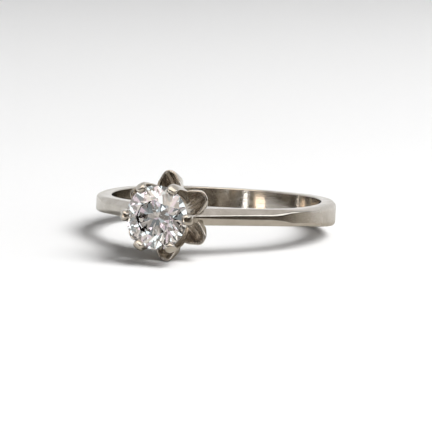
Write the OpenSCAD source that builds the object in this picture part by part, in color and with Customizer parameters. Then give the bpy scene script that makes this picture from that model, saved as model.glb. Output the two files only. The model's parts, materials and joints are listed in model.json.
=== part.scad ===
// Solitaire ring lying on its side: a tapered band with bevelled shoulders, a six-petalled calyx,
// six claws and one round brilliant. Millimetres, +Z up, the head towards -Y.

/* [Band] */
// Diameter of the finger hole
finger_d = 17; // [15:0.25:20]
// Thickness of the band away from the head
band_t = 1.22; // [1.1:0.02:1.5]
// Width of the band at its shoulders
shoulder_w = 1.3; // [1.1:0.05:1.6]
// Width of the band at its back
back_w = 2.25; // [1.8:0.05:2.6]
// Distance along the ring over which the width changes
taper_l = 14; // [8:0.5:18]

/* [Shoulders] */
// Distance from the ring's centre to the top of a shoulder, where it meets its claw
shoulder_top = 11.6; // [11.2:0.1:11.8]
// Half the distance between the two shoulder tops
shoulder_reach = 2.1; // [1.9:0.05:2.3]
// Half the width of the face between the bevels where it leaves the band's curve
face_wide = 0.27; // [0.15:0.01:0.4]
// Half the width of that face next to the head
face_narrow = 0.12; // [0:0.01:0.16]
// Angle of a bevel to the face
bevel_angle = 40; // [30:1:50]

/* [Stone] */
// Diameter of the stone
stone_d = 4.8; // [4.7:0.05:5.1]
// Distance from the ring's centre to the stone's girdle
girdle_z = 14.35; // [14.2:0.05:14.5]
// Height of the crown as a share of the stone's diameter
crown_share = 0.15; // [0.12:0.005:0.17]
// Depth of the pavilion as a share of the stone's diameter
pavilion_share = 0.43; // [0.41:0.005:0.44]
// Width of the table as a share of the stone's diameter
table_share = 0.57; // [0.52:0.01:0.62]
// Thickness of the girdle
girdle_t = 0.12; // [0.08:0.01:0.16]
// Gap between the stone and the metal
stone_gap = 0.04; // [0.03:0.01:0.06]

/* [Calyx] */
// Distance from the ring's centre to the calyx's rim
rim_z = 11.9; // [11.8:0.1:12.1]
// Radius that the petal tips reach
petal_r = 3.5; // [3.4:0.05:3.7]
// Radius of a petal's rounded tip
tip_r = 0.64; // [0.56:0.02:0.72]
// Radius at which the straight flanks of two petals would meet
crease_r = 2.38; // [2.35:0.01:2.42]
// Radius of a valley between two petals at the rim
valley_r = 2.3; // [2.25:0.01:2.32]
// Radius, at the rim, of the round flute that runs down a valley
flute_r = 0.3; // [0.25:0.05:0.4]
// How steeply a flute widens from the rim towards the finger, in degrees
flute_flare = 14; // [12:1:18]
// Lean of the bowl's side at the rim, in degrees
bowl_lean = 20; // [19:1:23]
// Thickness of the calyx's wall
calyx_t = 0.26; // [0.22:0.01:0.32]
// Radius of the round stem between the bowl and the finger
stem_r = 1.6; // [1.5:0.05:1.8]
// Radius of the open hole under the stone
hole_r = 0.6; // [0.4:0.05:0.8]

/* [Claws] */
// Width of a claw
claw_w = 0.84; // [0.75:0.01:0.95]
// Thickness of a claw
claw_t = 0.72; // [0.65:0.01:0.8]
// How far a claw's tip is bent towards the stone, in degrees
claw_bend = 50; // [40:1:60]

/* [Hidden] */
$fn = 96;

claw_count = 6;
finger_r = finger_d / 2;
band_r = finger_r + band_t;
clear = 1; // how far a cutter runs past what it cuts

// The ring rests on its lowest petal and on the lower edge of the band's back.
tilt = atan((petal_r - back_w / 2) / (rim_z + band_r));
lift = petal_r * cos(tilt) - rim_z * sin(tilt);
table_z = girdle_z + girdle_t / 2 + crown_share * stone_d;
front_y = -table_z * cos(tilt) - stone_d / 2 * sin(tilt);
back_y = band_r * cos(tilt) + back_w / 2 * sin(tilt);
centre_y = (front_y + back_y) / 2;

// Band: half its width at a distance y behind the ring's centre
function eased(s) = s * s * (3 - 2 * s);
function share(y) = eased(min(1, max(0, y / taper_l + 0.5)));
function half_width(y) = (shoulder_w + (back_w - shoulder_w) * share(y)) / 2;
taper_steps = 16;
taper_y = [
    -table_z,
    for (i = [0 : taper_steps]) taper_l * (i / taper_steps - 0.5),
    band_r + clear
];

// Shoulder: a flat that leaves the band's circle at turn_a from the head and runs up to the claw
top_dist = norm([shoulder_reach, shoulder_top]);
turn_a = atan(shoulder_reach / shoulder_top) + acos(band_r / top_dist);
flat_l = sqrt(top_dist * top_dist - band_r * band_r);
turn_point = [band_r * sin(turn_a), -band_r * cos(turn_a)];
face_slope = atan((face_wide - face_narrow) / flat_l);

module to_rest() {
    translate([0, -centre_y, lift]) rotate([-tilt, 0, 0]) children();
}

// The head is drawn about +Z, the distance from the ring's centre, and turned to face -Y.
module on_head() {
    rotate([90, 0, 0]) children();
}

module band_blank() {
    linear_extrude(2 * back_w, center = true) {
        circle(band_r);
        polygon([
            [turn_point.x, turn_point.y],
            [-turn_point.x, turn_point.y],
            [-shoulder_reach, -shoulder_top],
            [shoulder_reach, -shoulder_top]
        ]);
    }
}

module band_taper() {
    outline = concat(
        [for (y = taper_y) [y, half_width(y)]],
        [for (i = [len(taper_y) - 1 : -1 : 0]) [taper_y[i], -half_width(taper_y[i])]]
    );
    rotate([90, 0, 90]) linear_extrude(2 * band_r + 2 * clear, center = true) polygon(outline);
}

module bevel_cutter() {
    reach = flat_l + clear;
    translate([turn_point.x, turn_point.y, face_wide])
        rotate([0, 0, 180 + turn_a])
            rotate([0, face_slope, 0])
                rotate([bevel_angle, 0, 0])
                    translate([-reach, 0, -reach]) cube([2 * reach, reach, 2 * reach]);
}

module shoulder_bevels() {
    for (side = [0, 1], face = [0, 1])
        mirror([side, 0, 0]) mirror([0, 0, face]) bevel_cutter();
}

module band() {
    difference() {
        intersection() {
            band_blank();
            band_taper();
        }
        shoulder_bevels();
    }
}

// Calyx: a round bowl with straight-sided petals and a widening flute in each claw's place
claw_turn = 360 / claw_count;
bowl_r = petal_r / cos(bowl_lean);
bowl_z = rim_z + petal_r * tan(bowl_lean);
tip_at = [petal_r - tip_r, 0];
// A flank touches its petal's tip at flank_a round the tip and passes the head's axis at flank_r.
to_crease = crease_r * [cos(claw_turn / 2), sin(claw_turn / 2)] - tip_at;
flank_a = atan2(to_crease.y, to_crease.x) - acos(tip_r / norm(to_crease));
flank_r = crease_r * cos(flank_a - claw_turn / 2);
tip_overlap = 0.03; // how far a flank runs into its tip, which it would only touch

function turned(v, a) = [v.x * cos(a) - v.y * sin(a), v.x * sin(a) + v.y * cos(a)];

// Inset is how far a form lies inside the calyx's outer surface.
module petal_plan(inset) {
    crease = [(flank_r - inset) / cos(flank_a - claw_turn / 2), 0];
    end = tip_at + (tip_r - inset - tip_overlap) * [cos(flank_a), sin(flank_a)];
    polygon([
        for (k = [0 : claw_count - 1])
            each [
                turned(crease, k * claw_turn),
                turned([end.x, -end.y], (k + 0.5) * claw_turn),
                turned(end, (k + 0.5) * claw_turn)
            ]
    ]);
    for (k = [0 : claw_count - 1])
        rotate((k + 0.5) * claw_turn) translate(tip_at) circle(tip_r - inset);
}

module flute(inset) {
    deepest = rim_z - finger_r + clear;
    growth = tan(flute_flare);
    over = flute_r / growth / 2; // so that the cone ends above the rim before its radius runs out
    translate([valley_r + flute_r, 0, rim_z - deepest])
        cylinder(
            h = deepest + over,
            r1 = flute_r + inset + growth * deepest,
            r2 = flute_r + inset - growth * over
        );
}

module calyx_form(inset, top_z) {
    difference() {
        intersection() {
            translate([0, 0, bowl_z]) sphere(bowl_r - inset);
            translate([0, 0, finger_r]) linear_extrude(top_z - finger_r) petal_plan(inset);
        }
        for (k = [0 : claw_count - 1])
            rotate([0, 0, k * claw_turn]) flute(inset);
    }
}

module calyx_hollow() {
    calyx_form(calyx_t, rim_z + clear);
    translate([0, 0, finger_r - clear]) cylinder(h = 3 * clear, r = hole_r);
}

module calyx_body() {
    calyx_form(0, rim_z);
    translate([0, 0, finger_r - clear]) cylinder(h = 2 * clear, r = stem_r);
}

// Claw: sections swept along a leaning curve, then round a bend to a domed tip
claw_foot = [1.15, 9];
claw_knee = [2.3, 11.8];
claw_neck = [2.5, 14.25];
claw_bend_r = 0.4;
stem_steps = 8;
bend_steps = 4;
dome_steps = 4;
section_points = 12;
section_square = 0.7; // 1 is an ellipse, less is squarer

function along(a, b, c, s) = (1 - s) * (1 - s) * a + 2 * s * (1 - s) * b + s * s * c;
function lean_of(v) = atan2(v.x, v.y);
neck_lean = lean_of(claw_neck - claw_knee);
function bend_point(a) =
    claw_neck + claw_bend_r * [cos(a - neck_lean) - cos(neck_lean), sin(a - neck_lean) + sin(neck_lean)];
// Each station is [radius, height, lean, size].
function stem_station(s) =
    let (p = along(claw_foot, claw_knee, claw_neck, s),
        v = (1 - s) * (claw_knee - claw_foot) + s * (claw_neck - claw_knee))
    [p.x, p.y, lean_of(v), 1];
function bend_station(s) =
    let (a = s * claw_bend, p = bend_point(a))
    [p.x, p.y, neck_lean - a, 1];
function dome_station(s) =
    let (a = claw_bend, p = bend_point(a), lean = neck_lean - a, d = claw_t / 2 * sin(90 * s))
    [p.x + d * sin(lean), p.y + d * cos(lean), lean, cos(90 * s)];
claw_stations = [
    for (i = [0 : stem_steps]) stem_station(i / stem_steps),
    for (i = [1 : bend_steps]) bend_station(i / bend_steps),
    for (i = [1 : dome_steps - 1]) dome_station(i / dome_steps)
];
function squared(v) = sign(v) * pow(abs(v), section_square);
function claw_ring(st) = [
    for (i = [0 : section_points - 1])
        let (a = (i + 0.5) * 360 / section_points,
            across = st[3] * claw_w / 2 * squared(sin(a)),
            out = st[3] * claw_t / 2 * squared(cos(a)))
        [st[0] + out * cos(st[2]), across, st[1] - out * sin(st[2])]
];

module claw() {
    n = section_points;
    last = len(claw_stations) - 1;
    tip = dome_station(1);
    points = [
        each [for (st = claw_stations) each claw_ring(st)],
        [claw_foot.x, 0, claw_foot.y],
        [tip[0], 0, tip[1]]
    ];
    foot_i = n * (last + 1);
    sides = [
        for (j = [0 : last - 1], i = [0 : n - 1])
            let (a = j * n + i, b = j * n + (i + 1) % n)
            each [[a, a + n, b + n], [a, b + n, b]]
    ];
    foot = [for (i = [0 : n - 1]) [foot_i, i, (i + 1) % n]];
    end = [for (i = [0 : n - 1]) [foot_i + 1, last * n + (i + 1) % n, last * n + i]];
    polyhedron(points, concat(sides, foot, end));
}

module claws() {
    for (k = [0 : claw_count - 1])
        rotate([0, 0, k * claw_turn]) claw();
}

// Stone: a round brilliant of table, 8 stars, 8 kites, 16 upper and 16 lower girdle facets, 8 mains
stone_r = stone_d / 2;
mains = 8;
halves = 2 * mains;
half_turn = 180 / mains;
table_r = table_share * stone_r;
crown_h = crown_share * stone_d;
pavilion_h = pavilion_share * stone_d;
star_share = 0.5;
lower_share = 0.78;
// A kite is flat: its two side corners lie where its plane, halfway round, has this radius.
kite_out = star_share * (stone_r - table_r);
kite_r = (table_r + kite_out) / cos(half_turn);
kite_z = crown_h * (1 - kite_out / (stone_r - table_r));
main_out = (1 - lower_share) * stone_r;
main_r = main_out / cos(half_turn);
main_z = pavilion_h * (main_out / stone_r - 1);

function ring_at(r, z, count, turn) =
    [for (i = [0 : count - 1]) [r * cos(turn + i * 360 / count), r * sin(turn + i * 360 / count), z]];

stone_points = [
    each ring_at(table_r, girdle_t / 2 + crown_h, mains, 0),
    each ring_at(kite_r, girdle_t / 2 + kite_z, mains, half_turn),
    each ring_at(stone_r, girdle_t / 2, halves, 0),
    each ring_at(stone_r, -girdle_t / 2, halves, 0),
    each ring_at(main_r, main_z - girdle_t / 2, mains, half_turn),
    [0, 0, -pavilion_h - girdle_t / 2]
];
// Where each ring of corners begins in that list
table_i = 0;
kite_i = table_i + mains;
upper_i = kite_i + mains;
lower_i = upper_i + halves;
main_i = lower_i + halves;
culet_i = main_i + mains;

stone_faces = [
    [for (k = [mains - 1 : -1 : 0]) table_i + k],
    for (k = [0 : mains - 1])
        let (next = (k + 1) % mains, last = (k + mains - 1) % mains,
            near = 2 * k, mid = 2 * k + 1, far = (2 * k + 2) % halves)
        each [
            [table_i + k, table_i + next, kite_i + k],
            [table_i + k, kite_i + k, upper_i + near, kite_i + last],
            [kite_i + k, upper_i + mid, upper_i + near],
            [kite_i + k, upper_i + far, upper_i + mid],
            [upper_i + near, upper_i + mid, lower_i + mid, lower_i + near],
            [upper_i + mid, upper_i + far, lower_i + far, lower_i + mid],
            [main_i + k, lower_i + near, lower_i + mid],
            [main_i + k, lower_i + mid, lower_i + far],
            [culet_i, main_i + last, lower_i + near, main_i + k]
        ]
];

module brilliant() {
    polyhedron(stone_points, stone_faces);
}

// The seat is the stone's turned outline with the gap added, so the claws hold it without touching.
module stone_seat() {
    g = stone_gap;
    translate([0, 0, girdle_z]) rotate_extrude() polygon([
        [0, -pavilion_h - girdle_t / 2 - 2 * g],
        [stone_r + g, -girdle_t / 2 - g / 2],
        [stone_r + g, girdle_t / 2 + g / 2],
        [kite_r + g, girdle_t / 2 + kite_z + g],
        [table_r + g, girdle_t / 2 + crown_h + g],
        [0, girdle_t / 2 + crown_h + g]
    ]);
}

module band_with_setting() {
    color("#b3aca0") to_rest() difference() {
        union() {
            difference() {
                union() {
                    band();
                    on_head() calyx_body();
                }
                on_head() calyx_hollow();
            }
            on_head() claws();
        }
        on_head() stone_seat();
        cylinder(h = 4 * back_w + 2 * petal_r, r = finger_r, center = true);
    }
}

module stone() {
    color("#dcd8e0") to_rest() on_head() translate([0, 0, girdle_z]) brilliant();
}

band_with_setting();
stone();
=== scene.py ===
"""Looks of a solitaire ring lying on its side: white gold, six claws and one round brilliant."""

import json
import math

import bmesh
import bpy
from bpy.props import FloatProperty, FloatVectorProperty, PointerProperty
from mathutils import Matrix, Vector


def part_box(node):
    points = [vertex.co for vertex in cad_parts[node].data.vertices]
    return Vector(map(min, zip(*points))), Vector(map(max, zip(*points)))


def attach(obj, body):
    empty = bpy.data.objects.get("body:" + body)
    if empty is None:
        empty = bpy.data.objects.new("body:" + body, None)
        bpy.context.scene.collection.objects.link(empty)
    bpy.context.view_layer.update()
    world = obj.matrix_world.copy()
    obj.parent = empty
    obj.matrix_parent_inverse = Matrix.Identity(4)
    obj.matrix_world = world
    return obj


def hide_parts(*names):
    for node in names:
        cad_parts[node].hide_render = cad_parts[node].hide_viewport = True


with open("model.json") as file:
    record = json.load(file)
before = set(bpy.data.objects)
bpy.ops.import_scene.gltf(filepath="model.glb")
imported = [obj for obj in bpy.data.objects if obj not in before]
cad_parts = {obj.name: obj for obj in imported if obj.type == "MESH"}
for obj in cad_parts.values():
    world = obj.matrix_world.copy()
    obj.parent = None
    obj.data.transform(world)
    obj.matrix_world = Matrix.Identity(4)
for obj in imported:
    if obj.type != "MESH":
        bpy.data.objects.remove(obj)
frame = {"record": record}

bl_info = {
    "name": "Solitaire Ring",
    "version": (1, 0, 0),
    "blender": (4, 5, 0),
    "location": "View3D > Sidebar > Ring",
    "description": "Models a claw-set solitaire ring on its packed frame and lights it",
    "category": "Add Mesh",
}

# Pieces are modelled on the bench: in millimetres, the ring's centre at the origin, then set down.
MM = 0.001
# There, points this close are one, and points this far off a plane still count as in it.
NEAR, IN_PLANE = 1e-4, 1e-3
HOLE = frame["record"]["mounts"][0]
CENTRE = Vector(HOLE["pos_m"])
AXIS = Vector(HOLE["axis"])
TO_REST = Matrix.Translation(CENTRE) @ Vector((0, 0, 1)).rotation_difference(AXIS).to_matrix().to_4x4()
# The head is modelled about +Z, the distance from the ring's centre, and is then turned to face -Y.
QUARTER_TURN = math.radians(90)
HEAD_TO_FRONT = Matrix.Rotation(QUARTER_TURN, 4, "X")
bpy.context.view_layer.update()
BAND_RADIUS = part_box("band_with_setting")[1].x / MM
STONE_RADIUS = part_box("stone")[1].x / MM
GIRDLE_SIDES = 96
CLAW_COUNT = 6
# Turn from one claw or petal to the next, in degrees
PITCH = 360 / CLAW_COUNT
HALF_PITCH = PITCH / 2


class BandSizes(bpy.types.PropertyGroup):
    """Sizes of the band, in millimetres"""

    finger_radius: FloatProperty(
        name="Finger Radius", description="Radius of the finger hole",
        default=HOLE["dims"]["r_mm"], min=7, max=11,
    )
    radius: FloatProperty(
        name="Radius", description="Outer radius away from the head", default=BAND_RADIUS, min=8, max=13
    )
    shoulder_width: FloatProperty(
        name="Shoulder Width", description="Width of the band next to the head", default=1.3, min=1, max=1.8
    )
    back_width: FloatProperty(
        name="Back Width", description="Width of the band at its back", default=2.25, min=1.6, max=3
    )
    taper_length: FloatProperty(
        name="Taper Length", description="Distance over which the width changes", default=14, min=8, max=18
    )
    shoulder_top: FloatProperty(
        name="Shoulder Top", description="Height of a shoulder's end over the ring's centre", default=11.6
    )
    shoulder_reach: FloatProperty(
        name="Shoulder Reach", description="Distance from the head's middle to a shoulder's end",
        default=2.1,
    )
    face_wide: FloatProperty(
        name="Face Wide", description="Half the width of the face where the bevels begin", default=0.27
    )
    face_narrow: FloatProperty(
        name="Face Narrow", description="Half the width of that face next to the head", default=0.12
    )
    bevel_angle: FloatProperty(
        name="Bevel Angle", description="Angle of a bevel to the face",
        default=math.radians(40), unit="ROTATION",
    )
    outer_rounding: FloatProperty(
        name="Outer Rounding", description="Radius of the worn outer edges at the back",
        default=0.46, min=0.1, max=0.6,
    )
    inner_rounding: FloatProperty(
        name="Inner Rounding", description="Radius of the edges next to the finger",
        default=0.12, min=0.05, max=0.3,
    )
    edge_wear: FloatProperty(
        name="Edge Wear", description="Height over which a bevel's edge is rounded at the head",
        default=0.07, min=0.01, max=0.2,
    )
    end_wear: FloatProperty(
        name="End Wear", description="Height over which it is rounded at the bevel's end",
        default=0.13, min=0.01, max=0.5,
    )


class CalyxSizes(bpy.types.PropertyGroup):
    """Sizes of the petalled calyx, in millimetres"""

    rim_height: FloatProperty(
        name="Rim Height", description="Distance from the ring's centre to the rim", default=11.9
    )
    petal_radius: FloatProperty(
        name="Petal Radius", description="Distance of a petal's tip from the head's axis", default=3.5
    )
    valley_radius: FloatProperty(
        name="Valley Radius", description="Distance of a valley from the head's axis", default=2.3
    )
    tip_radius: FloatProperty(
        name="Tip Radius", description="Radius of a petal's rounded tip", default=0.64
    )
    crease_radius: FloatProperty(
        name="Crease Radius", description="Where the straight flanks of two petals would meet", default=2.38
    )
    flute_radius: FloatProperty(
        name="Flute Radius", description="Radius, at the rim, of the round flute between two petals",
        default=0.3,
    )
    flute_flare: FloatProperty(
        name="Flute Flare", description="How steeply a flute widens under the rim",
        default=math.radians(14), unit="ROTATION",
    )
    bowl_lean: FloatProperty(
        name="Bowl Lean", description="Lean of the bowl's side at the rim",
        default=math.radians(20), unit="ROTATION",
    )
    stem_radius: FloatProperty(
        name="Stem Radius", description="Radius of the stem under the bowl", default=1.6
    )
    hole_radius: FloatProperty(
        name="Hole Radius", description="Radius of the hole under the stone", default=0.6
    )
    wall: FloatProperty(
        name="Wall", description="Thickness of the calyx's wall", default=0.26, min=0.15, max=0.4
    )
    rim_wall: FloatProperty(
        name="Rim Wall", description="Thickness of the wall at its rim", default=0.19, min=0.1, max=0.3
    )
    fold: FloatProperty(
        name="Fold", description="Height of the two fold lines inside each petal",
        default=0.1, min=0, max=0.12,
    )


class ClawSizes(bpy.types.PropertyGroup):
    """Sizes of a claw, in millimetres. Places are distance from the head's axis and height"""

    width: FloatProperty(name="Width", description="Width of a claw", default=0.84)
    thickness: FloatProperty(name="Thickness", description="Thickness of a claw", default=0.72)
    foot: FloatVectorProperty(name="Foot", description="Where a claw begins", size=2, default=(1.15, 9))
    knee: FloatVectorProperty(
        name="Knee", description="What it bends towards", size=2, default=(2.3, 11.8)
    )
    neck: FloatVectorProperty(
        name="Neck", description="Where its tip turns in", size=2, default=(2.5, 14.25)
    )
    tip_bend: FloatProperty(
        name="Tip Bend", description="How far the tip turns over the stone",
        default=math.radians(50), unit="ROTATION",
    )
    bend_radius: FloatProperty(name="Bend Radius", description="Radius of that turn", default=0.4)
    seat_gap: FloatProperty(
        name="Seat Gap", description="Gap between the stone and its seat", default=0.02
    )


class StoneSizes(bpy.types.PropertyGroup):
    """Proportions of the round brilliant"""

    radius: FloatProperty(name="Radius", description="Radius of the girdle", default=STONE_RADIUS)
    height: FloatProperty(
        name="Height", description="Distance from the ring's centre to the girdle", default=14.35
    )
    table: FloatProperty(name="Table", description="Table as a share of the diameter", default=0.57)
    crown: FloatProperty(name="Crown", description="Crown height as a share of the diameter", default=0.15)
    pavilion: FloatProperty(
        name="Pavilion", description="Pavilion depth as a share of the diameter", default=0.43
    )
    girdle: FloatProperty(name="Girdle", description="Thickness of the girdle", default=0.12)
    star: FloatProperty(
        name="Star", description="Length of the stars as a share of the crown", default=0.5
    )
    lower: FloatProperty(
        name="Lower Halves", description="Length of the lower halves as a share of the pavilion",
        default=0.78,
    )


class FinishColours(bpy.types.PropertyGroup):
    """Colours of the metal, the stone and the floor"""

    gold: FloatVectorProperty(
        name="Gold", description="Clean white gold", subtype="COLOR", default=(0.73, 0.7, 0.655)
    )
    worn: FloatVectorProperty(
        name="Worn Gold", description="White gold where it is rubbed and duller", subtype="COLOR",
        default=(0.61, 0.58, 0.53),
    )
    # Dark brown that ambient occlusion lays into corners: soiling, and painted shade.
    grime_and_shade: FloatVectorProperty(
        name="Grime", description="What has gathered in corners", subtype="COLOR",
        default=(0.18, 0.125, 0.088),
    )
    stone: FloatVectorProperty(
        name="Stone", description="Body colour of the stone", subtype="COLOR", default=(0.97, 0.955, 0.98)
    )
    floor: FloatVectorProperty(
        name="Floor", description="Colour of the floor", subtype="COLOR", default=(0.9, 0.9, 0.9)
    )


class StageSizes(bpy.types.PropertyGroup):
    """Place of the camera, in degrees and metres"""

    azimuth: FloatProperty(
        name="Azimuth", description="Camera's turn from the front",
        default=math.radians(18), unit="ROTATION",
    )
    elevation: FloatProperty(
        name="Elevation", description="Camera's height over the floor",
        default=math.radians(10), unit="ROTATION",
    )
    distance: FloatProperty(
        name="Distance", description="Distance from the ring's centre", default=0.1626, unit="LENGTH"
    )
    lens: FloatProperty(name="Lens", description="Focal length in millimetres", default=166.7)
    roll: FloatProperty(
        name="Roll", description="Camera's roll", default=math.radians(0.9), unit="ROTATION"
    )
    rise: FloatProperty(
        name="Rise", description="How far over the picture's middle the ring's centre lies, as a share",
        default=8.5 / 432,
    )


def end_edit():
    """Leaves edit mode."""
    bpy.ops.object.mode_set(mode="OBJECT")


def deselect_all():
    """Leaves nothing selected and nothing being edited."""
    if bpy.context.object and bpy.context.object.mode != "OBJECT":
        end_edit()
    bpy.ops.object.select_all(action="DESELECT")


def take_up(piece):
    """Selects one piece alone."""
    deselect_all()
    piece.select_set(True)
    bpy.context.view_layer.objects.active = piece


def begin(name):
    """Names the primitive that was just added, and opens it for editing."""
    piece = bpy.context.object
    piece.name = piece.data.name = name
    bpy.ops.object.transform_apply()
    bpy.ops.object.mode_set(mode="EDIT")
    return piece


def pick_all():
    """Selects the whole edited piece."""
    bpy.ops.mesh.select_all(action="SELECT")


def pick_points(piece, chosen):
    """Selects the points of the edited piece for which chosen(point) is true."""
    mesh = bmesh.from_edit_mesh(piece.data)
    for part in (*mesh.faces, *mesh.edges, *mesh.verts):
        part.select = False
    for point in mesh.verts:
        point.select = bool(chosen(point))
    mesh.select_flush(True)
    bmesh.update_edit_mesh(piece.data)


def move_picked(piece, matrix):
    """Moves the selected points of the edited piece by a matrix."""
    mesh = bmesh.from_edit_mesh(piece.data)
    for point in mesh.verts:
        if point.select:
            point.co = matrix @ point.co
    bmesh.update_edit_mesh(piece.data)


def stretch(factors):
    """Scales what is selected about the origin."""
    bpy.ops.transform.resize(value=factors, center_override=(0, 0, 0))


def close_up(piece):
    """Merges doubles, points the faces outwards and ends the editing."""
    pick_all()
    bpy.ops.mesh.remove_doubles(threshold=NEAR)
    bpy.ops.mesh.normals_make_consistent(inside=False)
    end_edit()
    return piece


def apply_modifier(piece, kind, **settings):
    """Adds a modifier with these settings to the piece and applies it."""
    bpy.context.view_layer.objects.active = piece
    modifier = piece.modifiers.new(kind.title(), kind)
    for key, value in settings.items():
        setattr(modifier, key, value)
    bpy.ops.object.modifier_apply(modifier=modifier.name)


def cut_away(piece, cutter):
    """Cuts one closed shape out of another, and throws the cutter away."""
    apply_modifier(piece, "BOOLEAN", operation="DIFFERENCE", solver="EXACT", object=cutter)
    bpy.data.objects.remove(cutter)


def smooth(piece, angle):
    """Shades the piece smooth, apart from edges sharper than this angle in degrees."""
    take_up(piece)
    bpy.ops.object.shade_smooth_by_angle(angle=math.radians(angle))


def set_down(piece, on_head=False):
    """Takes a piece from the bench to its place in the frame, in metres, with its place in its mesh."""
    take_up(piece)
    piece.matrix_world = TO_REST @ (HEAD_TO_FRONT if on_head else Matrix.Identity(4)) @ Matrix.Scale(MM, 4)
    bpy.ops.object.transform_apply()
    return piece


def finish_piece(piece, slot, node, *materials):
    """Dresses a piece, parents it to the root body and hides the imported node that it stands in for."""
    piece.data.materials.clear()
    for material in materials:
        piece.data.materials.append(material)
    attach(piece, "root")
    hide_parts(node)


# Band

BACK_TO_HEAD_STEPS = 216
ROUNDING_STEPS = 8
FACE_CUTS = 28
# A bevel presses only what faces it at least this much, as a cosine.
LEAST_FACING = 0.4
BAND_SHARP_ANGLE = 60


def band_half_width(sizes, y):
    """Half the band's width at a distance y behind the ring's centre, eased at both ends of the taper."""
    share = min(1.0, max(0.0, y / sizes.taper_length + 0.5))
    share = share * share * (3 - 2 * share)
    return (sizes.shoulder_width + (sizes.back_width - sizes.shoulder_width) * share) / 2


def shoulder_turn(sizes):
    """The angle from the head at which a shoulder's flat leaves the band's circle."""
    top = math.hypot(sizes.shoulder_reach, sizes.shoulder_top)
    return math.atan2(sizes.shoulder_reach, sizes.shoulder_top) + math.acos(sizes.radius / top)


def shoulder_rise(sizes, angle):
    """How many times the band's radius a shoulder lies out, at an angle from the head."""
    turn = shoulder_turn(sizes)
    end = math.atan2(sizes.shoulder_reach, sizes.shoulder_top)
    if angle >= turn:
        return 1.0
    if angle >= end:
        return 1 / math.cos(turn - angle)
    return sizes.shoulder_top / math.cos(angle) / sizes.radius


def model_half_band(sizes):
    """Spins the rounded section of the back half way round to the head, and gives each place its width."""
    middle = (sizes.finger_radius + sizes.radius) / 2
    wall = sizes.radius - sizes.finger_radius
    deselect_all()
    bpy.ops.mesh.primitive_plane_add(size=1, location=(0, middle, 0), rotation=(0, QUARTER_TURN, 0))
    band = begin("band")
    bpy.ops.transform.resize(value=(1, wall, sizes.back_width), center_override=(0, middle, 0))
    for outer, rounding in ((True, sizes.outer_rounding), (False, sizes.inner_rounding)):
        pick_points(band, lambda point: (point.co.y > middle) == outer)
        bpy.ops.mesh.bevel(offset=rounding, segments=ROUNDING_STEPS, affect="VERTICES")
    pick_points(band, lambda point: abs(point.co.y - sizes.radius) < NEAR)
    bpy.ops.mesh.subdivide(number_cuts=FACE_CUTS)
    pick_all()
    bpy.ops.mesh.delete(type="ONLY_FACE")
    pick_all()
    bpy.ops.mesh.spin(steps=BACK_TO_HEAD_STEPS, angle=math.pi, center=(0, 0, 0), axis=(0, 0, 1))
    for step in range(BACK_TO_HEAD_STEPS + 1):
        angle = math.pi * (1 - step / BACK_TO_HEAD_STEPS)
        here = Vector((math.sin(angle), -math.cos(angle)))
        beside = Vector((-here.y, here.x))

        def in_section(point, least=0.0):
            flat = point.co.xy
            return abs(flat.dot(beside)) < IN_PLANE and flat.dot(here) > least

        rise = shoulder_rise(sizes, angle)
        pick_points(band, lambda point: in_section(point, middle))
        stretch((rise, rise, 1))
        pick_points(band, in_section)
        width = band_half_width(sizes, -middle * math.cos(angle)) / band_half_width(sizes, sizes.radius)
        stretch((1, 1, width))
    return band


def press_bevels(band, sizes):
    """Presses the outer side in to the planes of the shoulder's two bevels, with a worn edge along each."""
    turn = shoulder_turn(sizes)
    length = math.sqrt(sizes.shoulder_reach**2 + sizes.shoulder_top**2 - sizes.radius**2)
    slope = math.atan((sizes.face_wide - sizes.face_narrow) / length)
    out = Vector((math.sin(turn), -math.cos(turn), 0))
    to_head = Vector((-math.cos(turn), -math.sin(turn), 0))
    inner = (sizes.finger_radius + sizes.radius) / 2
    mesh = bmesh.from_edit_mesh(band.data)
    for side in (1, -1):
        edge = to_head * math.cos(slope) - Vector((0, 0, side)) * math.sin(slope)
        across = out.cross(edge).normalized()
        across *= math.copysign(1, across.z * side)
        normal = out * math.cos(sizes.bevel_angle) + across * math.sin(sizes.bevel_angle)
        start = out * sizes.radius + Vector((0, 0, side * sizes.face_wide))
        for point in mesh.verts:
            now = point.co.xy.length
            ray = Vector((*point.co.xy, 0)) / now
            if now < inner or normal.dot(ray) < LEAST_FACING:
                continue
            reach = normal.dot(start - Vector((0, 0, point.co.z))) / normal.dot(ray)
            # The edge is most worn at the bevel's end, away from the head.
            away = 1 - min(1.0, max(0.0, point.co.dot(to_head) / length))
            wear = sizes.edge_wear + (sizes.end_wear - sizes.edge_wear) * away**3
            near = max(0.0, wear - abs(now - reach))
            pressed = min(now, reach) - near**2 / (4 * wear)
            point.co = ray * pressed + Vector((0, 0, point.co.z))
    bmesh.update_edit_mesh(band.data)


def model_band(sizes, calyx_sizes):
    """Models half the band, mirrors it and cuts it off where it enters the calyx."""
    band = model_half_band(sizes)
    press_bevels(band, sizes)
    close_up(band)
    apply_modifier(band, "MIRROR", use_axis=(True, False, False), merge_threshold=IN_PLANE)
    core = model_calyx_core(calyx_sizes)
    core.matrix_world = HEAD_TO_FRONT
    cut_away(band, core)
    smooth(band, BAND_SHARP_ANGLE)
    apply_modifier(band, "WEIGHTED_NORMAL", keep_sharp=True)
    return set_down(band)


# Calyx

# Angles from a petal's middle to half way to the next, in degrees
PETAL_ANGLES = (0, 2.5, 5, 7.5, 10, 13, 16.5, 20, 23.5, 26.5, 30)
# Rings of the outer side, from the finger to the rim: height under the rim
OUTER_DEPTHS = (3.9, 3.0, 2.5, 2.25, 2.1, 1.95, 1.7, 1.4, 1.1, 0.8, 0.5, 0.25, 0.06)
# Rings on the rim: shares of its wall
RIM_SHARES = (0.25, 0.75)
# Rings of the inner side, from the rim to the finger: height under the rim
INNER_DEPTHS = (0.06, 0.25, 0.5, 0.8, 1.1, 1.4, 1.65, 1.85, 2.0, 2.1, 2.2, 2.5, 3.9)
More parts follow.
